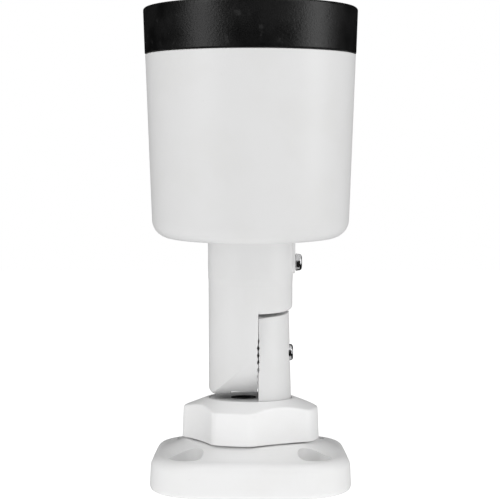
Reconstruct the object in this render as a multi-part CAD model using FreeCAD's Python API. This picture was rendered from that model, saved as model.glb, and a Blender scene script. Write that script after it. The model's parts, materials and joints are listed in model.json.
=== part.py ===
"""Bullet security camera on its three-axis wall bracket, in millimetres.

The origin is the centre of the base's mounting face and +Z is the axis the bracket pans about.
The head leans a few degrees towards -Y at rest; +X is the side of the two clamp screws.
Heights in the head and the upper arm are given from the tilt hinge, along the head's own axis.
"""

import FreeCAD
import Part
import math
import os

# ---- driving dimensions -------------------------------------------------------------

LEAN = 5.5
PIVOT_Z = 43.2

BASE_HALF_WIDTH = 32.7
BASE_CORNER_RADIUS = 19.0
BASE_DRAFT = 0.7
BASE_RIM = 11.1
BASE_CONE_RADIUS = 29.0
BASE_SEAT_RADIUS = 21.4
BASE_SEAT = 14.6
BASE_RIM_FILLET = 3.2
BASE_FOOT_FILLET = 1.8
WALL_SCREW_PITCH = 41.0
WALL_SCREW_HOLE = 2.3
WALL_SCREW_SINK = 5.5
WALL_SCREW_FLOOR = 6.0

BOSS_RADIUS = 18.0
BOSS_TOP = 21.3
BORE_RADIUS = 11.0
SEAL_INNER = 12.6
SEAL_OUTER = 17.4
SEAL_DEPTH = 0.9

NUT_BOTTOM = 15.1
NUT_SHOULDER_Z = 24.7
NUT_TOP = 28.2
NUT_HOLE = 13.95
NUT_LOBES = 4
NUT_LOBE_RADIUS = 22.9
NUT_LOBE_HALF_ANGLE = 17.5
NUT_VALLEY_RADIUS = 19.3
NUT_DRAFT = 0.5
NUT_LOBE_FILLET = 4.5
NUT_TOP_FILLET = 0.9
NUT_FIRST_TIP = 254.5

STUB_RADIUS = 13.6
TONGUE_TOP_RADIUS = 12.85
SEAT_Z = 28.0
FLANGE_RADIUS = 16.6
FLANGE_THICKNESS = 2.2
THRUST_WASHER = 1.0
SPIGOT_BOTTOM = 9.0

THROAT_X = -2.3
THROAT_RADIUS = 4.3
CABLE_RADIUS = 2.9

SEAM_X = 2.5
SEAM_GAP = 0.25
TEETH = 36
TOOTH_HEIGHT = 0.3
TOOTH_INNER = 9.5
TOOTH_OUTER = 14.5
TONGUE_ROUND = 13.9
TONGUE_FRONT = 12.05

ARM_RADIUS = 14.0
ARM_END_ROUND = 14.0
ARM_STEP = 14.6
COLLAR_FOOT = 23.6
COLLAR_RADIUS = 14.15
ARM_TOP = 38.6
ARM_BORE_FLOOR = 21.6
POCKET_X = -6.6
HUB_RADIUS = 4.2

SCREW_SHANK = 1.5
SCREW_HEAD = 2.9
SCREW_SEAT_X = 11.9
ROLL_SCREW_T = 30.4
ROLL_SEAT_X = 14.8
ROLL_PAD_WIDTH = 3.7

TAIL_RADIUS = 10.4
TAIL_BORE = 6.0
TAIL_GROOVE = 9.45
REAR_T = 38.9
REAR_WALL = 4.0
REAR_FILLET = 6.0
HOUSING_REAR_RADIUS = 32.65
HOUSING_FRONT_RADIUS = 34.45
HOUSING_BORE = 29.6
LIP_RADIUS = 31.8
LIP_BORE = 27.9
BEZEL_T = 98.7
FRONT_T = 113.6
BEZEL_RADIUS_REAR = 34.6
BEZEL_RADIUS_FRONT = 35.05

WINDOW_RADIUS = 31.2
WINDOW_THICKNESS = 2.1
GASKET_THICKNESS = 0.9
WINDOW_TOP = 111.4

POST_CIRCLE = 24.0
POST_RADIUS = 2.2
BOARD_RADIUS = 27.0
BOARD_THICKNESS = 1.6
MAIN_BOARD_T = 56.0
SENSOR_BOARD_T = 76.0
LED_BOARD_T = 101.0
LED_CIRCLE = 19.6
LED_COUNT = 12

RUNNING_FIT = 0.06

# ---- places worked out from them -----------------------------------------------------

FLANGE_Z = BOSS_TOP + 0.05
FLANGE_TOP = FLANGE_Z + FLANGE_THICKNESS
WASHER_Z = FLANGE_TOP + 0.05
WASHER_TOP = WASHER_Z + THRUST_WASHER
UPPER_SEAM = SEAM_X - SEAM_GAP / 2
LOWER_SEAM = SEAM_X + SEAM_GAP / 2
FLANGE_T = REAR_T + REAR_WALL + 0.5
WINDOW_T = WINDOW_TOP - WINDOW_THICKNESS
LIP_TOP = WINDOW_T - GASKET_THICKNESS
POST_ANGLES = (90.0, 210.0, 330.0)

Z_AXIS = FreeCAD.Vector(0, 0, 1)
X_AXIS = FreeCAD.Vector(1, 0, 0)
ORIGIN = FreeCAD.Vector(0, 0, 0)
PIVOT = FreeCAD.Vector(0, 0, PIVOT_Z)


# ---- shared shapes -------------------------------------------------------------------

def vec(x, y, z):
    return FreeCAD.Vector(x, y, z)


def rod(radius, z0, z1, x=0.0, y=0.0):
    """A cylinder along Z."""
    return Part.makeCylinder(radius, z1 - z0, vec(x, y, z0))


def rod_x(radius, x0, x1, z=0.0, y=0.0):
    """A cylinder along X."""
    return Part.makeCylinder(radius, x1 - x0, vec(x0, y, z), X_AXIS)


def tube(outer, inner, z0, z1, x=0.0, y=0.0):
    return rod(outer, z0, z1, x, y).cut(rod(inner, z0 - 1, z1 + 1, x, y))


def box(x0, x1, y0, y1, z0, z1):
    return Part.makeBox(x1 - x0, y1 - y0, z1 - z0, vec(x0, y0, z0))


def joined(shapes):
    return shapes[0].fuse(shapes[1:]).removeSplitter()


def group(solids):
    """Separate solids that are exported as one node."""
    return Part.Compound(solids)


def polar(radius, angle):
    turn = math.radians(angle)
    return radius * math.cos(turn), radius * math.sin(turn)


def round_corner(before, point, after, radius):
    """Start, middle and end of the arc that rounds one corner of an outline."""
    p = vec(point[0], point[1], 0)
    to_before = (vec(before[0], before[1], 0) - p).normalize()
    to_after = (vec(after[0], after[1], 0) - p).normalize()
    half = to_before.getAngle(to_after) / 2
    bisector = (to_before + to_after).normalize()
    centre = p + bisector * (radius / math.sin(half))
    run = radius / math.tan(half)
    return p + to_before * run, centre - bisector * radius, p + to_after * run


def outline(corners, place):
    """A closed wire through (u, v) or (u, v, rounding radius) corners; place maps them to space."""
    stations = []
    for i, corner in enumerate(corners):
        if len(corner) > 2:
            after = corners[(i + 1) % len(corners)]
            stations.append(round_corner(corners[i - 1], corner, after, corner[2]))
        else:
            stations.append((vec(corner[0], corner[1], 0),))
    edges = []
    for i, station in enumerate(stations):
        here = [place(p.x, p.y) for p in station]
        if len(here) == 3:
            edges.append(Part.Arc(*here).toShape())
        following = stations[(i + 1) % len(stations)][0]
        start = here[-1]
        end = place(following.x, following.y)
        if start.distanceToPoint(end) > 1e-6:
            edges.append(Part.LineSegment(start, end).toShape())
    return Part.Wire(edges)


def turned(corners):
    """A solid turned about Z from (radius, z) corners."""
    wire = outline(corners, lambda r, z: vec(r, 0, z))
    return Part.Face(wire).revolve(ORIGIN, Z_AXIS, 360)


def turned_x(corners):
    """A solid turned about the X axis from (x, radius) corners."""
    wire = outline(corners, lambda x, r: vec(x, 0, r))
    return Part.Face(wire).revolve(ORIGIN, X_AXIS, 360)


def plate(width, depth, z0, z1, corner, x=0.0, y=0.0):
    """A flat block with rounded corners, centred on (x, y)."""
    w = width / 2
    d = depth / 2
    corners = [(x - w, y - d, corner), (x + w, y - d, corner), (x + w, y + d, corner), (x - w, y + d, corner)]
    wire = outline(corners, lambda u, v: vec(u, v, z0))
    return Part.Face(wire).extrude(vec(0, 0, z1 - z0))


def from_hinge(shape):
    """Lifts a shape drawn about the tilt hinge to its place and leans it with the head."""
    placed = shape.copy()
    placed.translate(PIVOT)
    placed.rotate(PIVOT, X_AXIS, LEAN)
    return placed


def at_hinge_height(shape):
    """Lifts a shape drawn about the tilt hinge to its place without the lean."""
    placed = shape.copy()
    placed.translate(PIVOT)
    return placed


def copies_round(shape, angles):
    """Copies of a shape turned about Z to each angle."""
    copies = []
    for angle in angles:
        copy = shape.copy()
        copy.rotate(ORIGIN, Z_AXIS, angle)
        copies.append(copy)
    return copies


# ---- fasteners -----------------------------------------------------------------------

def cross_recess(head_radius, depth, top):
    """The cutter for a cross recess, open at the top of a head that stands along Z."""
    long_way = box(-head_radius * 0.62, head_radius * 0.62, -0.38, 0.38, top - depth, top + 1)
    short_way = box(-0.38, 0.38, -head_radius * 0.62, head_radius * 0.62, top - depth, top + 1)
    return joined([long_way, short_way])


def pan_screw(head_radius, head_height, shank_radius, length):
    """A pan-head screw along -Z, with the underside of its head at z = 0."""
    head = turned([(0, 0), (head_radius, 0, 0.2), (head_radius * 0.9, head_height, head_height * 0.45),
                   (0, head_height)])
    shank = turned([(0, -length), (shank_radius - 0.4, -length), (shank_radius, -length + 0.5),
                    (shank_radius, 0.2), (0, 0.2)])
    return joined([head, shank]).cut(cross_recess(head_radius, head_height * 0.55, head_height))


def facing_x(screw, x, t):
    """Turns a screw that stands along Z to point its head along +X."""
    placed = screw.copy()
    placed.rotate(ORIGIN, FreeCAD.Vector(0, 1, 0), 90)
    placed.translate(vec(x, 0, t))
    return placed


def screws_round(radius, angles, t, head_radius, head_height, shank_radius, length):
    """Screws on a circle with their heads towards the front."""
    screws = []
    for angle in angles:
        screw = pan_screw(head_radius, head_height, shank_radius, length)
        x, y = polar(radius, angle)
        screw.translate(vec(x, y, t))
        screws.append(screw)
    return screws


# ---- base and locking nut ------------------------------------------------------------

def base_plan(z, inset):
    """The base's outline: a square with broad round corners."""
    reach = BASE_HALF_WIDTH - inset
    corners = [(-reach, -reach, BASE_CORNER_RADIUS - inset), (reach, -reach, BASE_CORNER_RADIUS - inset),
               (reach, reach, BASE_CORNER_RADIUS - inset), (-reach, reach, BASE_CORNER_RADIUS - inset)]
    return outline(corners, lambda x, y: vec(x, y, z))


def wall_screw_places():
    """The four wall screws on their square."""
    half = WALL_SCREW_PITCH / 2
    return [(x, y) for x in (-half, half) for y in (-half, half)]


def base_plate():
    """The square foot with four sunk screw holes, a coned top and the smooth boss the nut turns on."""
    block = Part.makeLoft([base_plan(0, 0), base_plan(BASE_SEAT, BASE_DRAFT)], True, True)
    crown = turned([(0, -1), (60, -1), (60, BASE_RIM), (BASE_CONE_RADIUS, BASE_RIM, 9.0),
                    (BASE_SEAT_RADIUS, BASE_SEAT, 1.5), (0, BASE_SEAT)])
    block = block.common(crown)
    rim = [e for e in block.Edges if e.BoundBox.ZMin > 8 and e.BoundBox.DiagonalLength > 2
           and max(math.hypot(v.X, v.Y) for v in e.Vertexes) > BASE_CONE_RADIUS + 1]
    block = block.makeFillet(BASE_RIM_FILLET, rim)
    foot = [e for e in block.Edges if e.BoundBox.ZMax < 0.01]
    block = block.makeFillet(BASE_FOOT_FILLET, foot)
    boss = turned([(0, 8), (BOSS_RADIUS, 8), (BOSS_RADIUS, BOSS_TOP, 0.5), (0, BOSS_TOP)])
    block = joined([block, boss])
    cutters = [rod(BORE_RADIUS, -1, BOSS_TOP + 1)]
    cutters.append(tube(SEAL_OUTER, SEAL_INNER, -1, SEAL_DEPTH))
    for x, y in wall_screw_places():
        cutters.append(rod(WALL_SCREW_HOLE, -1, 20, x, y))
        cutters.append(rod(WALL_SCREW_SINK, WALL_SCREW_FLOOR, 20, x, y))
    return block.cut(cutters)


def wall_seal():
    """The foam ring let into the mounting face round the cable way."""
    return tube(SEAL_OUTER, SEAL_INNER, 0, SEAL_DEPTH)


def lobed_wire(inset, z):
    """The nut's outline: four lobes round its axis with a shallow hollow between each pair."""
    lobe = NUT_LOBE_RADIUS - inset
    valley = NUT_VALLEY_RADIUS - inset
    pitch = 360.0 / NUT_LOBES
    edges = []
    for i in range(NUT_LOBES):
        tip = NUT_FIRST_TIP + i * pitch
        before = vec(*polar(lobe, tip - NUT_LOBE_HALF_ANGLE), z)
        after = vec(*polar(lobe, tip + NUT_LOBE_HALF_ANGLE), z)
        following = vec(*polar(lobe, tip + pitch - NUT_LOBE_HALF_ANGLE), z)
        edges.append(Part.Arc(before, vec(*polar(lobe, tip), z), after).toShape())
        edges.append(Part.Arc(after, vec(*polar(valley, tip + pitch / 2), z), following).toShape())
    return Part.Wire(edges)


def locking_nut():
    """The lobed ring that screws down on the boss and clamps the swivel."""
    body = Part.makeLoft([lobed_wire(0, NUT_BOTTOM), lobed_wire(NUT_DRAFT, NUT_TOP)], True, True)
    sides = [e for e in body.Edges if e.BoundBox.ZLength > 6]
    body = body.makeFillet(NUT_LOBE_FILLET, sides)
    edge = NUT_LOBE_RADIUS + 1
    slope = turned([(0, NUT_BOTTOM - 1), (edge, NUT_BOTTOM - 1), (edge, NUT_SHOULDER_Z),
                    (NUT_HOLE + 0.9, NUT_TOP, 0.8), (0, NUT_TOP)])
    body = body.common(slope)
    rim = [e for e in body.Edges if NUT_SHOULDER_Z - 1.5 < e.CenterOfMass.z < NUT_TOP - 0.8
           and math.hypot(e.CenterOfMass.x, e.CenterOfMass.y) > FLANGE_RADIUS and e.BoundBox.ZLength < 4]
    body = body.makeFillet(NUT_TOP_FILLET, rim)
    inside = turned([(0, NUT_BOTTOM - 1), (BOSS_RADIUS + RUNNING_FIT, NUT_BOTTOM - 1),
                     (BOSS_RADIUS + RUNNING_FIT, FLANGE_Z + 0.2), (FLANGE_RADIUS + 0.5, FLANGE_Z + 0.9),
                     (FLANGE_RADIUS + 0.5, WASHER_TOP), (NUT_HOLE, WASHER_TOP), (NUT_HOLE, NUT_TOP + 1),
                     (0, NUT_TOP + 1)])
    return body.cut(inside)


def thrust_washer():
    """The slippery ring between the nut's lip and the swivel flange."""
    return tube(FLANGE_RADIUS, NUT_HOLE + 0.15, WASHER_Z, WASHER_TOP)


# ---- swivel (lower arm) --------------------------------------------------------------

def groove():
    """The cutter of one radial V groove between hinge teeth, its mouth at x = 0 and its bottom at +X."""
    ends = []
    for radius in (TOOTH_INNER - 0.2, TOOTH_OUTER):
        half = math.pi * radius / TEETH * 0.96
        corners = [vec(-0.2, -half, radius), vec(-0.2, half, radius), vec(0, half, radius),
                   vec(TOOTH_HEIGHT, 0, radius), vec(0, -half, radius)]
        ends.append(Part.makePolygon(corners + corners[:1]))
    return Part.makeLoft(ends, True, True)


def grooves(x, towards_minus, first):
    """The ring of grooves that leaves the hinge teeth standing on a face at x."""
    ring = []
    for i in range(TEETH):
        cutter = groove()
        if towards_minus:
            cutter.rotate(ORIGIN, Z_AXIS, 180)
        cutter.rotate(ORIGIN, X_AXIS, first + 360.0 * i / TEETH)
        cutter.translate(vec(x, 0, 0))
        ring.append(cutter)
    return ring


def right_tongue():
    """The toothed right-hand tongue of the hinge, drawn about the hinge axis."""
    foot = SEAT_Z - PIVOT_Z
    column = turned([(0, foot - 0.1), (STUB_RADIUS, foot - 0.1), (TONGUE_TOP_RADIUS, TONGUE_ROUND + 0.5),
                     (0, TONGUE_ROUND + 0.5)])
    column = column.common(box(LOWER_SEAM, 20, -20, 20, -20, 20))
    front = outline([(0, 0), (0, TONGUE_ROUND - 0.1), (-13.0, TONGUE_FRONT, 2.0), (-13.8, 0)],
                    lambda y, z: vec(0, y, z))
    front = Part.Face(front).extrude(vec(20, 0, 0))
    envelope = joined([column.common(box(0, 20, -20, 20, -20, 0)), column.common(rod_x(TONGUE_ROUND, 0, 20)),
                       column.common(front)])
    return envelope.cut(grooves(LOWER_SEAM, False, 0.0))


def lower_arm():
    """The swivel: a flange held by the nut, a round stub and the right-hand tongue of the hinge."""
    foot = turned([(0, SPIGOT_BOTTOM), (BORE_RADIUS - RUNNING_FIT, SPIGOT_BOTTOM, 0.6),
                   (BORE_RADIUS - RUNNING_FIT, FLANGE_Z), (FLANGE_RADIUS, FLANGE_Z),
                   (FLANGE_RADIUS, FLANGE_TOP), (STUB_RADIUS, FLANGE_TOP),
                   (STUB_RADIUS, SEAT_Z), (0, SEAT_Z)])
    arm = foot.fuse(at_hinge_height(right_tongue()))
    cutters = [rod(THROAT_RADIUS, SPIGOT_BOTTOM - 1, SEAT_Z + 1, THROAT_X)]
    cutters.append(rod_x(SCREW_SHANK + RUNNING_FIT, 0, 20, PIVOT_Z))
    cutters.append(rod_x(SCREW_HEAD + 0.7, SCREW_SEAT_X, 20, PIVOT_Z))
    return arm.cut(cutters)


def cable_grommet():
    """The rubber bush that the cable passes where it leaves the swivel's seat."""
    bush = turned([(CABLE_RADIUS, SEAT_Z - 9), (THROAT_RADIUS, SEAT_Z - 9), (THROAT_RADIUS, SEAT_Z + 0.3, 0.3),
                   (CABLE_RADIUS, SEAT_Z + 0.3, 0.3)])
    bush.translate(vec(THROAT_X, 0, 0))
    return bush


# ---- upper arm -----------------------------------------------------------------------

def arm_envelope():
    """The outer form of the upper arm, with its lower end still whole."""
    column = turned([(0, -ARM_END_ROUND - 1), (ARM_RADIUS, -ARM_END_ROUND - 1), (ARM_RADIUS, COLLAR_FOOT, 4.0),
                     (COLLAR_RADIUS, COLLAR_FOOT + 2.2, 4.0), (COLLAR_RADIUS, ARM_TOP), (0, ARM_TOP)])
    end = turned_x([(-ARM_RADIUS - 0.05, 0), (-ARM_RADIUS - 0.05, ARM_END_ROUND, 3.0), (20, ARM_END_ROUND), (20, 0)])
    top = box(-20, 20, -20, 20, 0, ARM_TOP)
    return joined([column.common(top), column.common(end).common(box(-20, 20, -20, 20, -20, 0.0))])


def upper_arm():
    """The left-hand tongue and the round column that holds the camera's tail."""
    envelope = arm_envelope()
    left = envelope.common(box(-20, UPPER_SEAM, -20, 20, -20, ARM_TOP))
    step = turned([(0, ARM_STEP), (ARM_RADIUS, ARM_STEP, 1.6), (ARM_RADIUS, COLLAR_FOOT, 4.0),
                   (COLLAR_RADIUS, COLLAR_FOOT + 2.2, 4.0), (COLLAR_RADIUS, ARM_TOP), (0, ARM_TOP)])
    right = step.common(box(UPPER_SEAM, 20, -20, 20, 0, ARM_TOP))
    pad = rod_x(ROLL_PAD_WIDTH, 12, ROLL_SEAT_X, ROLL_SCREW_T)
    pad_top = box(12, ROLL_SEAT_X, -ROLL_PAD_WIDTH, ROLL_PAD_WIDTH, ROLL_SCREW_T, ARM_TOP)
    body = joined([left, right, pad, pad_top]).cut(grooves(UPPER_SEAM, True, -LEAN))
    hub = rod_x(HUB_RADIUS, POCKET_X - 1, UPPER_SEAM)
    pocket = rod_x(TOOTH_INNER, POCKET_X, UPPER_SEAM + 1)
    way_out = box(POCKET_X, UPPER_SEAM + 1, 0, 20, -20, 4)
    way_out = way_out.fuse(box(POCKET_X, UPPER_SEAM + 1, -7.4, 1, -20, -4))
    way_up = box(POCKET_X, UPPER_SEAM + 1, -4.3, 4.3, 0, ARM_STEP)
    way_up = way_up.fuse(box(POCKET_X, UPPER_SEAM - SEAM_GAP, -4.3, 4.3, ARM_STEP - 1, ARM_BORE_FLOOR + 1))
    body = body.cut([pocket, way_out, way_up, rod(TAIL_RADIUS + RUNNING_FIT, ARM_BORE_FLOOR, ARM_TOP + 1)])
    body = joined([body, hub])
    cutters = [rod_x(2.6, POCKET_X - 0.2, 5)]
    cutters.append(rod_x(SCREW_SHANK + RUNNING_FIT, 5, 20, ROLL_SCREW_T))
    return from_hinge(body.cut(cutters))


def hinge_insert():
    """The threaded brass insert that the tilt screw pulls on."""
    insert = rod_x(2.6, POCKET_X - 0.2, UPPER_SEAM)
    return from_hinge(insert.cut(rod_x(SCREW_SHANK + RUNNING_FIT, POCKET_X - 1, 5)))


def hinge_shim():
    """The thin washer between the two hubs of the hinge."""
    shim = rod_x(HUB_RADIUS - 0.2, UPPER_SEAM, LOWER_SEAM - 0.05)
    return from_hinge(shim.cut(rod_x(SCREW_SHANK + RUNNING_FIT, 0, 5)))


def tilt_washer():
    """The washer under the tilt screw's head."""
    ring = rod_x(SCREW_HEAD + 0.3, SCREW_SEAT_X + 0.02, SCREW_SEAT_X + 0.42)
    return from_hinge(ring.cut(rod_x(SCREW_SHANK + 0.05, 5, 20)))


def tilt_screw():
    """The clamp screw of the tilt hinge."""
    screw = pan_screw(SCREW_HEAD, 1.9, SCREW_SHANK, 18.0)
    return from_hinge(facing_x(screw, SCREW_SEAT_X + 0.45, 0))


def roll_screw():
    """The clamp screw that holds the camera's tail in the column."""
    screw = pan_screw(SCREW_HEAD, 2.1, SCREW_SHANK, 3.6)
    return from_hinge(facing_x(screw, ROLL_SEAT_X + 0.2, ROLL_SCREW_T))


def roll_pad():
    """The nylon tip ahead of the roll screw, resting in the tail's groove."""
    return from_hinge(rod_x(SCREW_SHANK, TAIL_GROOVE + 0.02, ROLL_SEAT_X + 0.2 - 3.6 - 0.03, ROLL_SCREW_T))


# ---- camera housing ------------------------------------------------------------------

def tail_spigot():
    """The hollow tail that turns in the arm, with its flange inside the housing."""
    tail = turned([(TAIL_BORE, ARM_BORE_FLOOR + 0.8), (TAIL_RADIUS, ARM_BORE_FLOOR + 0.8, 0.6),
                   (TAIL_RADIUS, ROLL_SCREW_T - 1.9), (TAIL_GROOVE, ROLL_SCREW_T - 1.7),
                   (TAIL_GROOVE, ROLL_SCREW_T + 1.7), (TAIL_RADIUS, ROLL_SCREW_T + 1.9),
                   (TAIL_RADIUS, FLANGE_T), (17.0, FLANGE_T), (17.0, FLANGE_T + 2.0, 0.4),
                   (9.0, FLANGE_T + 2.0), (9.0, FLANGE_T + 4.0, 0.4), (TAIL_BORE, FLANGE_T + 4.0)])
    holes = []
    for angle in POST_ANGLES:
        x, y = polar(14.0, angle + 60)
        holes.append(rod(1.27, FLANGE_T - 1, FLANGE_T + 3, x, y))
    return from_hinge(tail.cut(holes))


def tail_gasket():
    """The sealing ring between the tail's flange and the rear wall."""
    ring = tube(17.0, TAIL_RADIUS + 0.2, REAR_T + REAR_WALL, FLANGE_T)
    holes = []
    for angle in POST_ANGLES:
        x, y = polar(14.0, angle + 60)
        holes.append(rod(1.4, REAR_T, FLANGE_T + 1, x, y))
    return from_hinge(ring.cut(holes))


def tail_screws():
    """The three screws that hold the tail's flange to the rear wall."""
    angles = [a + 60 for a in POST_ANGLES]
    screws = screws_round(14.0, angles, FLANGE_T + 2.0, 2.1, 1.5, 1.25, 5.2)
    return from_hinge(group(screws))


def cable_gland():
    """The rubber bush in the tail that seals round the cable."""
    fit = TAIL_BORE - 0.04
    under = FLANGE_T + 4.03
    bush = turned([(CABLE_RADIUS, REAR_T - 4), (fit, REAR_T - 4), (fit, under),
                   (8.2, under), (8.2, under + 1.4, 0.5), (CABLE_RADIUS, under + 1.4, 0.5)])
    return from_hinge(bush)


def housing():
    """The white shell: closed rear wall, tapered side and the lip that carries the front ring."""
    outer = turned([(0, REAR_T), (HOUSING_REAR_RADIUS - 0.2, REAR_T, REAR_FILLET),
                    (HOUSING_FRONT_RADIUS, BEZEL_T, 0.25), (LIP_RADIUS, BEZEL_T), (LIP_RADIUS, LIP_TOP, 0.4),
                    (0, LIP_TOP)])
    inner = turned([(0, REAR_T + REAR_WALL), (HOUSING_BORE - 1.5, REAR_T + REAR_WALL, 2.0),
                    (HOUSING_BORE, REAR_T + 12), (HOUSING_BORE, LED_BOARD_T - 6), (LIP_BORE, LED_BOARD_T - 4),
                    (LIP_BORE, LIP_TOP + 1), (0, LIP_TOP + 1)])
    shell = outer.cut(inner)
    cutters = [rod(TAIL_RADIUS + 0.04, REAR_T - 1, REAR_T + 10)]
    cutters.append(Part.makeTorus(LIP_RADIUS - 0.8, 0.85, vec(0, 0, BEZEL_T + 2.6), Z_AXIS))
    for angle in POST_ANGLES:
        x, y = polar(14.0, angle + 60)
        cutters.append(rod(1.27, REAR_T + 0.8, REAR_T + 10, x, y))
        x, y = polar(POST_CIRCLE, angle)
        cutters.append(rod(1.2, REAR_T + 1.2, REAR_T + 10, x, y))
    return from_hinge(shell.cut(cutters))


def front_ring():
    """The black ring that screws over the housing's lip and holds the window."""
    ring = turned([(LIP_RADIUS + 0.05, BEZEL_T + 0.15), (BEZEL_RADIUS_REAR, BEZEL_T + 0.15, 0.5),
                   (BEZEL_RADIUS_FRONT, FRONT_T, 0.9), (29.9, FRONT_T, 0.5), (28.9, WINDOW_TOP + 0.02),
                   (WINDOW_RADIUS + 0.1, WINDOW_TOP + 0.02), (WINDOW_RADIUS + 0.1, LIP_TOP + 0.3),
                   (LIP_RADIUS + 0.05, LIP_TOP + 0.3)])
    return from_hinge(ring)


def front_window():
    """The flat clear window."""
    return from_hinge(turned([(0, WINDOW_T), (WINDOW_RADIUS, WINDOW_T, 0.2), (WINDOW_RADIUS, WINDOW_TOP, 0.2),
                              (0, WINDOW_TOP)]))


def window_gasket():
    """The rubber ring under the window."""
    return from_hinge(tube(WINDOW_RADIUS, LIP_BORE + 0.3, LIP_TOP, WINDOW_T))


def ring_seal():
    """The O-ring between the lip and the front ring."""
    return from_hinge(Part.makeTorus(LIP_RADIUS - 0.8, 0.8, vec(0, 0, BEZEL_T + 2.6), Z_AXIS))


# ---- electronics ---------------------------------------------------------------------

def board(t, hole=0.0):
    """A round circuit board with three screw holes."""
    disc = rod(BOARD_RADIUS, t, t + BOARD_THICKNESS)
    cutters = []
    for angle in POST_ANGLES:
        x, y = polar(POST_CIRCLE, angle)
        cutters.append(rod(1.25, t - 1, t + 3, x, y))
    if hole:
        cutters.append(rod(hole, t - 1, t + 3))
    return disc.cut(cutters)


def posts(t0, t1):
    """Three brass pillars with a threaded stud at the rear of each."""
    pillars = []
    for angle in POST_ANGLES:
        x, y = polar(POST_CIRCLE, angle)
        stud = rod(1.15, t0 - BOARD_THICKNESS - 1.0, t0 + 0.1, x, y)
        pillar = rod(POST_RADIUS, t0, t1, x, y).fuse(stud).removeSplitter()
        pillars.append(pillar.cut(rod(1.2, t1 - 4, t1 + 1, x, y)))
    return pillars


def rear_posts():
    return from_hinge(group(posts(REAR_T + REAR_WALL, MAIN_BOARD_T)))


def middle_posts():
    return from_hinge(group(posts(MAIN_BOARD_T + BOARD_THICKNESS, SENSOR_BOARD_T)))


def front_posts():
    return from_hinge(group(posts(SENSOR_BOARD_T + BOARD_THICKNESS, LED_BOARD_T)))


def board_screws():
    """The screws that hold the LED board on the front pillars."""
    screws = screws_round(POST_CIRCLE, POST_ANGLES, LED_BOARD_T + BOARD_THICKNESS, 2.1, 1.4, 1.15, 4.6)
    return from_hinge(group(screws))


def main_board():
    return from_hinge(board(MAIN_BOARD_T))


def processor():
    """The main chip on the front of the main board."""
    top = MAIN_BOARD_T + BOARD_THICKNESS
    return from_hinge(plate(14, 14, top, top + 1.4, 0.4, 3.0, 2.0))


def heat_pad():
    top = MAIN_BOARD_T + BOARD_THICKNESS + 1.4
    return from_hinge(plate(13, 13, top, top + 1.0, 0.4, 3.0, 2.0))


def heat_sink():
    """The finned spreader on the main chip."""
    top = MAIN_BOARD_T + BOARD_THICKNESS + 2.4
    sink = plate(20, 18, top, top + 1.6, 0.6, 3.0, 2.0)
    fins = [sink]
    for i in range(6):
        x = -5.6 + i * 3.44
        fins.append(box(x - 0.5, x + 0.5, -6.5, 10.5, top + 1.5, top + 6.0))
    return from_hinge(joined(fins))


def board_parts():
    """The network transformer, two chips, a coil and three capacitors behind the main board."""
    under = MAIN_BOARD_T
    pieces = [plate(12, 9, under - 5.0, under, 0.5, -11, 11)]
    pieces.append(plate(9, 7, under - 1.2, under, 0.3, 10, 8))
    pieces.append(plate(7, 7, under - 1.0, under, 0.3, 11, -8))
    pieces.append(plate(7, 7, under - 3.4, under, 1.2, -12, -9))
    for x, y in ((0, 17), (-5, -18), (19, 0)):
        pieces.append(rod(2.4, under - 5.4, under, x, y))
    return from_hinge(group(pieces))


def connectors():
    """The cable sockets on the boards."""
    under = MAIN_BOARD_T
    front = MAIN_BOARD_T + BOARD_THICKNESS
    pieces = [plate(12, 4.2, under - 5.0, under, 0.4, 6, -15.5)]
    pieces.append(plate(9, 4.0, front, front + 4.0, 0.4, -14, -12))
    pieces.append(plate(9, 4.0, SENSOR_BOARD_T - 4.0, SENSOR_BOARD_T, 0.4, -14, -12))
    return from_hinge(group(pieces))


def drying_bag():
    """The small bag of drying agent beside the lens."""
    low = SENSOR_BOARD_T + BOARD_THICKNESS + 0.1
    bag = plate(9.4, 17, low, low + 3.4, 2.0, 18.2)
    flat_edges = [e for e in bag.Edges if e.BoundBox.ZLength < 0.01]
    return from_hinge(bag.makeFillet(1.2, flat_edges))


def sensor_board():
    return from_hinge(board(SENSOR_BOARD_T))


def image_sensor():
    """The sensor package behind the lens."""
    top = SENSOR_BOARD_T + BOARD_THICKNESS
    return from_hinge(plate(9, 7, top, top + 1.3, 0.2))


def lens_mount():
    """The plastic mount on the sensor board, open for the filter slide and threaded for the lens."""
    foot = SENSOR_BOARD_T + BOARD_THICKNESS
    body = plate(22, 18, foot, foot + 7.0, 1.2)
    tower = rod(8.0, foot + 6.9, foot + 14.0)
    mount = joined([body, tower])
    cutters = [box(-9.6, 9.6, -7.0, 7.0, foot - 1, foot + 4.6)]
    cutters.append(rod(6.05, foot + 4, foot + 15))
    return from_hinge(mount.cut(cutters))


def filter_slide():
    """The frame that carries the day and night panes across the sensor."""
    low = SENSOR_BOARD_T + BOARD_THICKNESS + 2.6
    frame = plate(13.4, 8.6, low, low + 1.2, 0.5, -2.7)
    frame = frame.cut([box(-8.7, -3.5, -3.0, 3.0, low - 1, low + 2), box(-2.6, 3.2, -3.0, 3.0, low - 1, low + 2)])
    return from_hinge(frame)


def filter_panes():
    """The two small glass panes in the slide."""
    low = SENSOR_BOARD_T + BOARD_THICKNESS + 2.8
    return from_hinge(group([box(-8.7, -3.5, -3.0, 3.0, low, low + 0.8), box(-2.6, 3.2, -3.0, 3.0, low, low + 0.8)]))


def lens_barrel():
    """The lens tube: a threaded rear part and a wider front with a stepped mouth."""
    foot = SENSOR_BOARD_T + BOARD_THICKNESS
    tube_shape = turned([(4.2, foot + 6.0), (6.0, foot + 6.0), (6.0, foot + 19.0), (7.4, foot + 19.4, 0.3),
                         (7.4, foot + 27.5, 0.5), (6.4, foot + 27.5), (4.6, foot + 25.0), (4.2, foot + 25.0)])
    return from_hinge(tube_shape)


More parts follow.
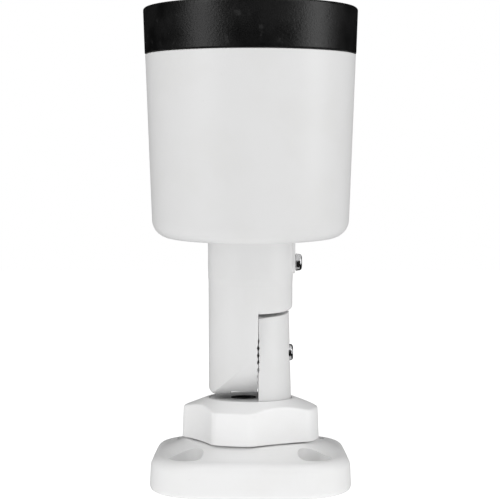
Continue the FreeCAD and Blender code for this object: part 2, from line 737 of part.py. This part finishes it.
def lens_glass():
    """The front element in the lens tube."""
    foot = SENSOR_BOARD_T + BOARD_THICKNESS
    dome = Part.makeSphere(9.0, vec(0, 0, foot + 26.6 - 9.0))
    element = rod(4.15, foot + 22.0, foot + 27).common(dome)
    return from_hinge(element)


def lens_lock_ring():
    """The knurled ring that locks the focus."""
    foot = SENSOR_BOARD_T + BOARD_THICKNESS
    ring = tube(8.2, 6.06, foot + 14.3, foot + 16.6)
    notches = []
    for i in range(18):
        x, y = polar(8.5, i * 20)
        notches.append(rod(0.55, foot + 14, foot + 17, x, y))
    return from_hinge(ring.cut(notches))


def lens_shroud():
    """The soft black cone that keeps the LEDs' light out of the lens."""
    low = LED_BOARD_T + BOARD_THICKNESS
    return from_hinge(turned([(8.6, low), (11.4, low), (11.4, low + 1.2), (10.4, WINDOW_T, 0.2), (9.4, WINDOW_T),
                              (8.6, low + 3.0)]))


def led_board():
    return from_hinge(board(LED_BOARD_T, 8.6))


def led_angles():
    return [15.0 + i * 360.0 / LED_COUNT for i in range(LED_COUNT)]


def leds():
    """The infrared LEDs: a square foot with a clear dome."""
    low = LED_BOARD_T + BOARD_THICKNESS
    foot = plate(3.6, 3.6, low, low + 0.9, 0.3, LED_CIRCLE)
    dome = Part.makeSphere(1.6, vec(LED_CIRCLE, 0, low + 0.8)).common(rod(1.7, low + 0.5, low + 4, LED_CIRCLE))
    return from_hinge(group(copies_round(joined([foot, dome]), led_angles())))


def light_sensor():
    """The daylight sensor between the lens and the LEDs."""
    low = LED_BOARD_T + BOARD_THICKNESS
    body = turned([(0, low), (1.5, low), (1.5, low + 2.4, 0.7), (0, low + 2.4)])
    body.translate(vec(0, 14.6, 0))
    return from_hinge(body)


# ---- export --------------------------------------------------------------------------

NODES = {
    "base_plate": base_plate,
    "wall_seal": wall_seal,
    "locking_nut": locking_nut,
    "thrust_washer": thrust_washer,
    "lower_arm": lower_arm,
    "cable_grommet": cable_grommet,
    "upper_arm": upper_arm,
    "hinge_insert": hinge_insert,
    "hinge_shim": hinge_shim,
    "tilt_washer": tilt_washer,
    "tilt_screw": tilt_screw,
    "roll_screw": roll_screw,
    "roll_pad": roll_pad,
    "tail_spigot": tail_spigot,
    "tail_gasket": tail_gasket,
    "tail_screws": tail_screws,
    "cable_gland": cable_gland,
    "housing": housing,
    "front_ring": front_ring,
    "ring_seal": ring_seal,
    "window_gasket": window_gasket,
    "front_window": front_window,
    "rear_posts": rear_posts,
    "middle_posts": middle_posts,
    "front_posts": front_posts,
    "main_board": main_board,
    "processor": processor,
    "heat_pad": heat_pad,
    "heat_sink": heat_sink,
    "board_parts": board_parts,
    "connectors": connectors,
    "drying_bag": drying_bag,
    "sensor_board": sensor_board,
    "image_sensor": image_sensor,
    "lens_mount": lens_mount,
    "filter_slide": filter_slide,
    "filter_panes": filter_panes,
    "lens_barrel": lens_barrel,
    "lens_glass": lens_glass,
    "lens_lock_ring": lens_lock_ring,
    "lens_shroud": lens_shroud,
    "led_board": led_board,
    "board_screws": board_screws,
    "leds": leds,
    "light_sensor": light_sensor,
}

os.makedirs("parts", exist_ok=True)
for name, make in NODES.items():
    shape = make()
    shape.exportStep(f"parts/{name}.step")
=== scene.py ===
"""Looks of the bullet security camera on its wall bracket, in metres, in the CAD model's frame."""

import bmesh
import bpy
import json
import math
from mathutils import Matrix, Vector


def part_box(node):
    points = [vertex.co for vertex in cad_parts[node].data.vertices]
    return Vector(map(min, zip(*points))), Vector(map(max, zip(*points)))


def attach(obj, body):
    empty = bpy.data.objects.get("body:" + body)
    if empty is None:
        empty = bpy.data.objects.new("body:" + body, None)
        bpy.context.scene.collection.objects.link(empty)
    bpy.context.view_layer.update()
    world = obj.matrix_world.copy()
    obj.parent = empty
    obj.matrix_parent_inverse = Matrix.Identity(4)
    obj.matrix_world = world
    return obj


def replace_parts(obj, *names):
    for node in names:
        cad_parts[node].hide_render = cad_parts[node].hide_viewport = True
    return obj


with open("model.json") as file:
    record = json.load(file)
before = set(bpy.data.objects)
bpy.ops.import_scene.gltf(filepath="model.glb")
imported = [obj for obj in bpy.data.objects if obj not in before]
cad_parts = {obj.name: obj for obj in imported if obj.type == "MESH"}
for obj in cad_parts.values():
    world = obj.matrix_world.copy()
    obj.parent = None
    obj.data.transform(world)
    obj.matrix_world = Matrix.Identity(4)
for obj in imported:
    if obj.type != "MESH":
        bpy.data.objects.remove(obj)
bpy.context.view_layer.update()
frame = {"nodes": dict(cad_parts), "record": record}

NODES = frame["nodes"]

# The long lens looks level at the front of the bracket.
SENSOR_WIDTH = 36.0
FOCAL_LENGTH = 86.8
CAMERA_PLACE = (-0.00017, -0.405, 0.0775)
NEAREST_SEEN = 0.01
FARTHEST_SEEN = 20.0

# Name, place, point lit, width, height and power of each light panel.
PANELS = (
    ("left_panel", (-0.61, -0.51, 0.22), (0, 0, 0.09), 0.36, 0.8, 2.1),
    ("right_panel", (0.757, -0.26, 0.22), (0, 0, 0.09), 0.36, 0.8, 2.5),
    ("top_panel", (0.0, -0.35, 0.90), (0, 0, 0.02), 1.6, 1.2, 6.6),
)

# Strength of the white surroundings: as light on the part, in reflections, and as the backdrop.
FILL_LIGHT = 0.22
GLOSS_LIGHT = 0.012
BACKDROP = 1.0

FLOOR_HALF_SIDE = 4.0
FLOOR_GLOW = 1.0


# ---- camera and light ----------------------------------------------------------------

def place_camera():
    data = bpy.data.cameras.new("camera")
    data.sensor_width = SENSOR_WIDTH
    data.lens = FOCAL_LENGTH
    data.clip_start = NEAREST_SEEN
    data.clip_end = FARTHEST_SEEN
    camera = bpy.data.objects.new("camera", data)
    camera.location = CAMERA_PLACE
    camera.rotation_euler = (math.radians(90.0), 0.0, 0.0)
    bpy.context.collection.objects.link(camera)
    bpy.context.scene.camera = camera


def soft_light(name, place, aim, width, height, power):
    data = bpy.data.lights.new(name, "AREA")
    data.shape = "RECTANGLE"
    data.size = width
    data.size_y = height
    data.energy = power
    light = bpy.data.objects.new(name, data)
    light.location = place
    light.rotation_euler = (Vector(aim) - Vector(place)).to_track_quat("-Z", "Y").to_euler()
    bpy.context.collection.objects.link(light)


def light_scene():
    """Three soft panels in a white surrounding that is dimmer as a light than it looks."""
    for panel in PANELS:
        soft_light(*panel)
    world = bpy.data.worlds.new("studio")
    world.use_nodes = True
    nodes = world.node_tree.nodes
    links = world.node_tree.links
    path = nodes.new("ShaderNodeLightPath")
    outlet = nodes["World Output"].inputs["Surface"]
    shown = nodes["Background"].outputs[0]
    nodes["Background"].inputs["Color"].default_value = (1.0, 1.0, 1.0, 1.0)
    nodes["Background"].inputs["Strength"].default_value = FILL_LIGHT
    for ray, strength in (("Is Glossy Ray", GLOSS_LIGHT), ("Is Camera Ray", BACKDROP)):
        seen = nodes.new("ShaderNodeBackground")
        seen.inputs["Color"].default_value = (1.0, 1.0, 1.0, 1.0)
        seen.inputs["Strength"].default_value = strength
        mix = nodes.new("ShaderNodeMixShader")
        links.new(path.outputs[ray], mix.inputs[0])
        links.new(shown, mix.inputs[1])
        links.new(seen.outputs[0], mix.inputs[2])
        shown = mix.outputs[0]
    links.new(shown, outlet)
    bpy.context.scene.world = world
    bpy.context.scene.view_settings.view_transform = "Standard"


# ---- shader maths --------------------------------------------------------------------

# Where a Mix node keeps its colour sockets.
MIX_FACTOR = 0
MIX_FIRST = 6
MIX_SECOND = 7
MIX_RESULT = 2


class Value:
    """A shader socket that adds, subtracts and multiplies like a number."""

    def __init__(self, tree, socket):
        self.tree = tree
        self.socket = socket

    def _math(self, operation, *others):
        return self.tree.node("ShaderNodeMath", {"operation": operation}, [self, *others])

    def __add__(self, other):
        return self._math("ADD", other)

    def __sub__(self, other):
        return self._math("SUBTRACT", other)

    def __mul__(self, other):
        return self._math("MULTIPLY", other)

    def __radd__(self, other):
        return self + other

    def __rsub__(self, other):
        return self.tree.node("ShaderNodeMath", {"operation": "SUBTRACT"}, [other, self])

    def __rmul__(self, other):
        return self * other

    def ramp(self, low, high):
        """0 below low, 1 above high, smooth between."""
        settings = {"interpolation_type": "SMOOTHSTEP"}
        inputs = {"Value": self, "From Min": low, "From Max": high}
        return self.tree.node("ShaderNodeMapRange", settings, inputs)


class Tree:
    """A material's node tree, built through one method."""

    def __init__(self, name):
        self.material = bpy.data.materials.new(name)
        self.material.use_nodes = True
        self.nodes = self.material.node_tree.nodes
        self.links = self.material.node_tree.links
        self.shader = self.nodes["Principled BSDF"]

    def put(self, socket, value):
        if isinstance(value, Value):
            self.links.new(value.socket, socket)
        else:
            socket.default_value = value

    def node(self, kind, settings=None, inputs=None, output=0):
        made = self.nodes.new(kind)
        for name, value in (settings or {}).items():
            setattr(made, name, value)
        pairs = inputs.items() if isinstance(inputs, dict) else enumerate(inputs or [])
        for key, value in pairs:
            self.put(made.inputs[key], value)
        return Value(self, made.outputs[output])

    def place(self):
        return self.node("ShaderNodeTexCoord", output="Object")

    def noise(self, scale, detail=3.0, roughness=0.5):
        inputs = {"Vector": self.place(), "Scale": scale, "Detail": detail, "Roughness": roughness}
        return self.node("ShaderNodeTexNoise", None, inputs)

    def mix(self, factor, first, second):
        inputs = {MIX_FACTOR: factor, MIX_FIRST: first, MIX_SECOND: second}
        return self.node("ShaderNodeMix", {"data_type": "RGBA"}, inputs, output=MIX_RESULT)

    def bump(self, height, distance, strength=1.0):
        inputs = {"Strength": strength, "Distance": distance, "Height": height}
        return self.node("ShaderNodeBump", None, inputs)

    def finish(self, **sockets):
        for name, value in sockets.items():
            self.put(self.shader.inputs[name.replace("_", " ").title().replace("Ior", "IOR")], value)
        return self.material


def rgb(red, green, blue):
    return (red, green, blue, 1.0)


def tinted(colour, gain, lift=0.0):
    return rgb(*[c * gain + lift for c in colour])


# ---- materials -----------------------------------------------------------------------

def painted_white(name, shade):
    """Satin white coat: faint orange peel, a trace of handling marks and uneven gloss; the grey level,
    shade, is set part by part, so one white coat carries painted shading.
    """
    t = Tree(name)
    cloud = t.noise(scale=55.0, detail=4.0)
    peel = t.noise(scale=2600.0, detail=2.0)
    speck = t.noise(scale=900.0, detail=2.0).ramp(0.70, 0.78)
    clean = rgb(shade, shade, shade)
    dull = rgb(shade * 0.965, shade * 0.963, shade * 0.955)
    colour = t.mix(cloud.ramp(0.42, 0.66) * 0.6, clean, dull)
    colour = t.mix(speck * 0.10, colour, rgb(0.45, 0.44, 0.42))
    gloss = 0.34 + cloud * 0.12
    return t.finish(base_color=colour, roughness=gloss, normal=t.bump(peel, distance=0.00002, strength=0.35))


def moulded(name, colour, rough, grain=1800.0, height=0.00003, strength=0.5):
    """Moulded plastic or rubber with a fine grain, uneven gloss and faint rubbed spots."""
    t = Tree(name)
    cloud = t.noise(scale=90.0, detail=3.0)
    fine = t.noise(scale=grain, detail=3.0, roughness=0.6)
    rubbed = t.noise(scale=260.0, detail=4.0).ramp(0.62, 0.74) * 0.12
    shown = t.mix(cloud.ramp(0.35, 0.65), rgb(*colour), tinted(colour, 1.12, 0.004))
    shown = t.mix(rubbed, shown, tinted(colour, 0.5, 0.1))
    gloss = rough + (cloud - 0.5) * 0.16
    relief = t.bump(fine, distance=height, strength=strength)
    return t.finish(base_color=shown, roughness=gloss, normal=relief)


def metal(name, colour, rough):
    """Machined or rolled metal with fine scratches and dull patches."""
    t = Tree(name)
    cloud = t.noise(scale=140.0, detail=3.0)
    scratch = t.noise(scale=700.0, detail=5.0, roughness=0.7)
    shown = t.mix(cloud.ramp(0.35, 0.7), rgb(*colour), tinted(colour, 0.82))
    gloss = rough + scratch.ramp(0.3, 0.8) * 0.18
    relief = t.bump(scratch, distance=0.00001, strength=0.3)
    return t.finish(base_color=shown, metallic=1.0, roughness=gloss, normal=relief)


def clear(name, tint, rough):
    """Clear glass or plastic with faint smears in its gloss."""
    t = Tree(name)
    smear = t.noise(scale=120.0, detail=4.0).ramp(0.45, 0.75)
    shown = t.mix(smear * 0.5, rgb(*tint), tinted(tint, 1.1))
    return t.finish(base_color=shown, roughness=rough + smear * 0.06, transmission_weight=0.92, ior=1.5)


def board_mask(name, colour):
    """Solder mask over faint copper tracks."""
    t = Tree(name)
    tracks = t.node("ShaderNodeTexBrick", {"offset": 0.35},
                    {"Vector": t.place(), "Scale": 420.0, "Mortar Size": 0.05,
                     "Color1": (0, 0, 0, 1), "Color2": (0, 0, 0, 1), "Mortar": (1, 1, 1, 1)})
    shown = t.mix(tracks, rgb(*colour), tinted(colour, 1.7, 0.02))
    gloss = 0.32 + t.noise(scale=200.0) * 0.1
    return t.finish(base_color=shown, roughness=gloss, normal=t.bump(tracks, distance=0.00003, strength=0.4))


# Each finish: its name, how it is made, what that needs, and the nodes that wear it.
FINISHES = (
    # Housing, arms, base and nut wear one white coat; their four grey levels are painted shading, set part
    # by part to how light falls on each.
    ("painted_body", painted_white, (0.68,), ["housing"]),
    ("painted_arm", painted_white, (0.73,), ["upper_arm", "lower_arm"]),
    ("painted_base", painted_white, (0.82,), ["base_plate"]),
    ("painted_nut", painted_white, (0.88,), ["locking_nut"]),
    ("grained_black", moulded, ((0.0014, 0.0014, 0.0015), 0.38, 1500.0, 0.00009, 0.9), ["front_ring"]),
    # The gaskets and seals are real black rubber; the cable grommet's black flange is partly a real rubber
    # part and partly a dark sheet standing in for the shade in the hollow under the upper arm, painted
    # shade.
    ("black_rubber", moulded, ((0.014, 0.014, 0.014), 0.68),
     ["cable_grommet", "cable_gland", "tail_gasket", "ring_seal", "window_gasket", "lens_shroud"]),
    ("foam", moulded, ((0.05, 0.05, 0.05), 0.9, 900.0, 0.0002, 1.0), ["wall_seal"]),
    ("nylon", moulded, ((0.72, 0.70, 0.64), 0.45), ["thrust_washer", "roll_pad", "connectors"]),
    ("bright_steel", metal, ((0.74, 0.74, 0.75), 0.16), ["tilt_screw", "roll_screw"]),
    ("plain_steel", metal, ((0.60, 0.60, 0.61), 0.28),
     ["tilt_washer", "hinge_shim", "tail_screws", "board_screws"]),
    ("turned_brass", metal, ((0.78, 0.60, 0.30), 0.25),
     ["hinge_insert", "rear_posts", "middle_posts", "front_posts"]),
    ("turned_aluminium", metal, ((0.72, 0.72, 0.73), 0.3), ["tail_spigot"]),
    ("black_anodised", moulded, ((0.02, 0.02, 0.021), 0.33), ["heat_sink", "lens_barrel", "lens_lock_ring"]),
    ("window_glass", clear, ((0.84, 0.85, 0.87), 0.02), ["front_window"]),
    ("lens_coating", clear, ((0.55, 0.50, 0.75), 0.01), ["lens_glass"]),
    ("filter_coating", clear, ((0.45, 0.75, 0.80), 0.02), ["filter_panes"]),
    ("green_mask", board_mask, ((0.012, 0.11, 0.05),), ["main_board", "sensor_board"]),
    ("black_mask", board_mask, ((0.012, 0.012, 0.013),), ["led_board"]),
    ("black_package", moulded, ((0.025, 0.025, 0.027), 0.5),
     ["processor", "board_parts", "lens_mount", "filter_slide"]),
    ("sensor_die", moulded, ((0.05, 0.05, 0.08), 0.15), ["image_sensor"]),
    ("soft_silicone", moulded, ((0.36, 0.42, 0.52), 0.7), ["heat_pad"]),
    ("fibre_paper", moulded, ((0.80, 0.80, 0.78), 0.85, 1500.0, 0.00008, 0.8), ["drying_bag"]),
    ("led_dome", clear, ((0.80, 0.76, 0.78), 0.03), ["leds"]),
    ("led_ceramic", moulded, ((0.70, 0.68, 0.62), 0.5), []),
    ("led_die", moulded, ((0.10, 0.03, 0.05), 0.25), []),
    ("amber_dome", moulded, ((0.55, 0.42, 0.24), 0.15), ["light_sensor"]),
)

SHADES = {name: make(name, *needs) for name, make, needs, _ in FINISHES}


def paint_nodes():
    for shade, *_, nodes in FINISHES:
        for node in nodes:
            for slot in NODES[node].material_slots:
                slot.material = SHADES[shade]


# ---- the head's own frame ------------------------------------------------------------

def head_frame():
    """Places things drawn about the tilt hinge, with +Z along the head, into the model's frame."""
    joints = {joint["name"]: joint for joint in frame["record"]["behaviour"]["joints"]}
    along = Vector(joints["roll"]["axis"]).normalized()
    across = Vector((1.0, 0.0, 0.0))
    turn = Matrix((across, along.cross(across), along)).transposed().to_4x4()
    return Matrix.Translation(Vector(joints["tilt"]["pos_m"])) @ turn


HEAD = head_frame()


def middle_in_head(node):
    """The middle of a node's box, seen in the head's frame."""
    low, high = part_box(node)
    return HEAD.inverted() @ ((low + high) / 2)


def half_width(node):
    low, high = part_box(node)
    return (high.x - low.x) / 2


# ---- small parts drawn as meshes -----------------------------------------------------

def turned_mesh(name, profile, around=48):
    """A mesh turned about Z from a closed run of (radius, height) points; a radius of 0 is a pole."""
    shape = bmesh.new()
    turns = [2 * math.pi * i / around for i in range(around)]
    rings = []
    for radius, height in profile:
        if radius == 0:
            places = [(0, 0, height)]
        else:
            places = [(radius * math.cos(a), radius * math.sin(a), height) for a in turns]
        rings.append([shape.verts.new(place) for place in places])
    pairs = list(zip(rings, rings[1:]))
    if all(radius > 0 for radius, _ in profile):
        pairs.append((rings[-1], rings[0]))
    for lower, upper in pairs:
        for i in range(around):
            j = (i + 1) % around
            corners = [ring[k % len(ring)] for ring, k in ((lower, i), (lower, j), (upper, j), (upper, i))]
            face = [v for n, v in enumerate(corners) if v not in corners[:n]]
            if len(face) > 2:
                shape.faces.new(face)
    return closed_mesh(name, shape)


def closed_mesh(name, shape, smooth=True):
    """Turns a bmesh into a mesh with outward normals."""
    bmesh.ops.recalc_face_normals(shape, faces=shape.faces)
    for face in shape.faces:
        face.smooth = smooth
    mesh = bpy.data.meshes.new(name)
    shape.to_mesh(mesh)
    shape.free()
    return mesh


def arc(radius, centre_z, start, end, steps):
    """(radius, height) points along a circle about a point on the axis, angles in degrees from +Z."""
    points = []
    for i in range(steps + 1):
        turn = math.radians(start + (end - start) * i / steps)
        points.append((max(0.0, radius * math.sin(turn)), centre_z + radius * math.cos(turn)))
    points[-1] = (0 if points[-1][0] < 1e-9 else points[-1][0], points[-1][1])
    return points


def block(shape, x0, x1, y0, y1, z0, z1, edge):
    """Adds a block with softened edges."""
    size = (x1 - x0, y1 - y0, z1 - z0)
    middle = Vector(((x0 + x1) / 2, (y0 + y1) / 2, (z0 + z1) / 2))
    made = bmesh.ops.create_cube(shape, size=1.0)["verts"]
    bmesh.ops.scale(shape, vec=size, verts=made)
    bmesh.ops.translate(shape, vec=middle, verts=made)
    edges = list({e for v in made for e in v.link_edges})
    bmesh.ops.bevel(shape, geom=edges, offset=edge, segments=2, affect="EDGES")


def put_in_head(name, mesh, material):
    """A finished piece of the head: its points are moved, the object itself stays at the origin."""
    mesh.transform(HEAD)
    mesh.materials.clear()
    mesh.materials.append(material)
    piece = bpy.data.objects.new(name, mesh)
    bpy.context.collection.objects.link(piece)
    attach(piece, "head")
    return piece


# ---- rings of repeated parts ---------------------------------------------------------

def ring_tree():
    """A node tree that stands copies of one part round a circle, each facing outwards."""
    tree = bpy.data.node_groups.new("ring_of_parts", "GeometryNodeTree")
    face = tree.interface
    for label, kind in (("Part", "Object"), ("Count", "Int"), ("Radius", "Float"),
                        ("Height", "Float"), ("First Angle", "Float"), ("Material", "Material")):
        face.new_socket(label, in_out="INPUT", socket_type="NodeSocket" + kind)
    face.new_socket("Geometry", in_out="OUTPUT", socket_type="NodeSocketGeometry")

    def add(kind, **settings):
        made = tree.nodes.new(kind)
        for name, value in settings.items():
            setattr(made, name, value)
        return made

    inlet = add("NodeGroupInput")
    outlet = add("NodeGroupOutput")
    circle = add("GeometryNodeMeshCircle")
    info = add("GeometryNodeObjectInfo")
    stand = add("GeometryNodeInstanceOnPoints")
    index = add("GeometryNodeInputIndex")
    share = add("ShaderNodeMath", operation="DIVIDE")
    turn = add("ShaderNodeMath", operation="MULTIPLY")
    turn.inputs[1].default_value = 2 * math.pi
    spin = add("ShaderNodeCombineXYZ")
    whole = add("ShaderNodeCombineXYZ")
    lift = add("ShaderNodeCombineXYZ")
    move = add("GeometryNodeTransform")
    real = add("GeometryNodeRealizeInstances")
    paint = add("GeometryNodeSetMaterial")
    for start, end in (
        (inlet.outputs["Count"], circle.inputs["Vertices"]),
        (inlet.outputs["Radius"], circle.inputs["Radius"]),
        (inlet.outputs["Part"], info.inputs["Object"]), (circle.outputs["Mesh"], stand.inputs["Points"]),
        (info.outputs["Geometry"], stand.inputs["Instance"]), (index.outputs[0], share.inputs[0]),
        (inlet.outputs["Count"], share.inputs[1]), (share.outputs[0], turn.inputs[0]),
        (turn.outputs[0], spin.inputs["Z"]), (spin.outputs[0], stand.inputs["Rotation"]),
        (stand.outputs[0], move.inputs["Geometry"]), (inlet.outputs["Height"], lift.inputs["Z"]),
        (lift.outputs[0], move.inputs["Translation"]), (inlet.outputs["First Angle"], whole.inputs["Z"]),
        (whole.outputs[0], move.inputs["Rotation"]), (move.outputs[0], real.inputs[0]),
        (real.outputs[0], paint.inputs["Geometry"]), (inlet.outputs["Material"], paint.inputs["Material"]),
        (paint.outputs[0], outlet.inputs[0]),
    ):
        tree.links.new(start, end)
    return tree


RING = ring_tree()


def ring_of(name, part_mesh, material, count, radius, height, first_angle):
    """Stands copies of a part round the head's axis and makes them one piece."""
    part = bpy.data.objects.new(name + "_part", part_mesh)
    carrier = bpy.data.objects.new(name + "_carrier", bpy.data.meshes.new(name + "_carrier"))
    bpy.context.collection.objects.link(carrier)
    bpy.context.collection.objects.link(part)
    values = {"Part": part, "Count": count, "Radius": radius, "Height": height,
              "First Angle": first_angle, "Material": material}
    modifier = carrier.modifiers.new("ring", "NODES")
    modifier.node_group = RING
    for socket in RING.interface.items_tree:
        if socket.in_out == "INPUT":
            modifier[socket.identifier] = values[socket.name]
    seen = bpy.context.evaluated_depsgraph_get()
    mesh = bpy.data.meshes.new_from_object(carrier.evaluated_get(seen))
    carrier.modifiers.remove(modifier)
    for spent in (carrier, part):
        bpy.data.objects.remove(spent)
    return put_in_head(name, mesh, material)


# ---- what shows through the window ---------------------------------------------------

BOARD_HALF_THICKNESS = 0.0008

LED_COUNT = 12
LED_FIRST_ANGLE = math.radians(15.0)
LED_HALF_SIDE = 0.0018
LED_FOOT_HEIGHT = 0.0009
LED_FOOT_EDGE = 0.00018
DIE_HALF_SIDE = 0.00055
DIE_THICKNESS = 0.00012
DIE_EDGE = 0.00002
DIE_LIFT = 0.00092
DOME_RADIUS = 0.0015
DOME_CENTRE = 0.00095
DOME_RIM_ANGLE = 84.0
DOME_FLAT_RADIUS = 0.00145
DOME_FLAT = 0.00105

RESISTOR_CIRCLE = 0.0142
RESISTOR_HALF_WIDTH = 0.0004
RESISTOR_BODY_END = 0.00055
RESISTOR_BOTTOM, RESISTOR_TOP = 0.00003, 0.00045
RESISTOR_EDGE = 0.00004
CAP_HALF_WIDTH = 0.00042
CAP_END = 0.00082
CAP_BOTTOM, CAP_TOP = 0.00002, 0.00047
CAP_EDGE = 0.00005

LENS_FRONT_RADIUS = 0.0090
LENS_CROWN = 0.0021
LENS_BACK = 0.0016
LENS_FRONT_CLEARANCE = 0.00005
LENS_BACK_CLEARANCE = 0.0002
BAFFLE_CLEARANCE = 0.0001
BAFFLE_INNER_RADIUS = 0.0020
BAFFLE_DEPTH = 0.0060
BAFFLE_STEPS = 5
BAFFLE_RISE = 0.0007


def board_top():
    return middle_in_head("led_board").z + BOARD_HALF_THICKNESS


def led_ring():
    """The infrared LEDs: a softened ceramic foot, a clear dome and the small die under it."""
    side = LED_HALF_SIDE
    reach = (half_width("leds") - side * math.sin(LED_FIRST_ANGLE)) / math.cos(LED_FIRST_ANGLE)

    def stand(name, mesh, shade, lift=0.0):
        return ring_of(name, mesh, SHADES[shade], LED_COUNT, reach - side,
                       board_top() + lift, LED_FIRST_ANGLE)

    foot = bmesh.new()
    block(foot, -side, side, -side, side, 0.0, LED_FOOT_HEIGHT, LED_FOOT_EDGE)
    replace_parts(stand("led_feet", closed_mesh("led_foot", foot, False), "led_ceramic"), "leds")
    die = bmesh.new()
    block(die, -DIE_HALF_SIDE, DIE_HALF_SIDE, -DIE_HALF_SIDE, DIE_HALF_SIDE, 0.0, DIE_THICKNESS, DIE_EDGE)
    stand("led_dies", closed_mesh("led_die", die, False), "led_die", DIE_LIFT)
    dome = [(0, DOME_FLAT), (DOME_FLAT_RADIUS, DOME_FLAT)]
    dome += arc(DOME_RADIUS, DOME_CENTRE, DOME_RIM_ANGLE, 0.0, 12)
    stand("led_domes", turned_mesh("led_dome", dome, 32), "led_dome")


def led_resistors():
    """The small resistors between the LEDs and the lens, one to each LED."""

    def stand(name, mesh, shade):
        return ring_of(name, mesh, SHADES[shade], LED_COUNT, RESISTOR_CIRCLE,
                       board_top(), LED_FIRST_ANGLE)

    body = bmesh.new()
    block(body, -RESISTOR_HALF_WIDTH, RESISTOR_HALF_WIDTH, -RESISTOR_BODY_END, RESISTOR_BODY_END,
          RESISTOR_BOTTOM, RESISTOR_TOP, RESISTOR_EDGE)
    stand("resistor_bodies", closed_mesh("resistor_body", body, False), "black_package")
    caps = bmesh.new()
    for side in (-1, 1):
        y0, y1 = sorted((side * RESISTOR_BODY_END, side * CAP_END))
        block(caps, -CAP_HALF_WIDTH, CAP_HALF_WIDTH, y0, y1, CAP_BOTTOM, CAP_TOP, CAP_EDGE)
    stand("resistor_caps", closed_mesh("resistor_cap", caps, False), "plain_steel")


def lens_front():
    """The coated front element and the stepped black cone behind it."""
    reach = half_width("lens_glass")
    middle = middle_in_head("lens_glass").z
    centre = middle + LENS_CROWN - LENS_FRONT_RADIUS
    edge = math.degrees(math.asin((reach - LENS_FRONT_CLEARANCE) / LENS_FRONT_RADIUS))
    profile = [(0, middle - LENS_BACK), (reach - LENS_BACK_CLEARANCE, middle - LENS_BACK)]
    profile += arc(LENS_FRONT_RADIUS, centre, edge, 0.0, 24)
    glass = turned_mesh("lens_element", profile, 96)
    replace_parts(put_in_head("lens_element", glass, SHADES["lens_coating"]), "lens_glass")
    outer = reach - BAFFLE_CLEARANCE
    low = middle - BAFFLE_DEPTH
    steps = []
    for i in range(BAFFLE_STEPS):
        radius = BAFFLE_INNER_RADIUS + (outer - BAFFLE_INNER_RADIUS) * i / BAFFLE_STEPS
        steps += [(radius, low + BAFFLE_RISE * i), (radius, low + BAFFLE_RISE * (i + 1))]
    steps += [(outer, low + BAFFLE_RISE * BAFFLE_STEPS), (outer, low)]
    cone = turned_mesh("lens_baffle", steps, 64)
    put_in_head("lens_baffle", cone, SHADES["black_anodised"])


# ---- the floor -----------------------------------------------------------------------

def white_floor():
    """The plain pale floor, bright enough to fade into the background."""
    t = Tree("pale_floor")
    soft = t.noise(scale=6.0, detail=2.0)
    t.finish(base_color=t.mix(soft, rgb(0.30, 0.30, 0.30), rgb(0.33, 0.33, 0.33)), roughness=0.9,
             emission_color=rgb(1.0, 1.0, 1.0), emission_strength=FLOOR_GLOW)
    mesh = bpy.data.meshes.new("floor")
    reach = FLOOR_HALF_SIDE
    corners = [(-reach, -reach, 0), (reach, -reach, 0), (reach, reach, 0), (-reach, reach, 0)]
    mesh.from_pydata(corners, [], [(0, 1, 2, 3)])
    mesh.materials.append(t.material)
    floor = bpy.data.objects.new("floor", mesh)
    floor.visible_glossy = False
    bpy.context.collection.objects.link(floor)


place_camera()
light_scene()
white_floor()
paint_nodes()
led_ring()
led_resistors()
lens_front()
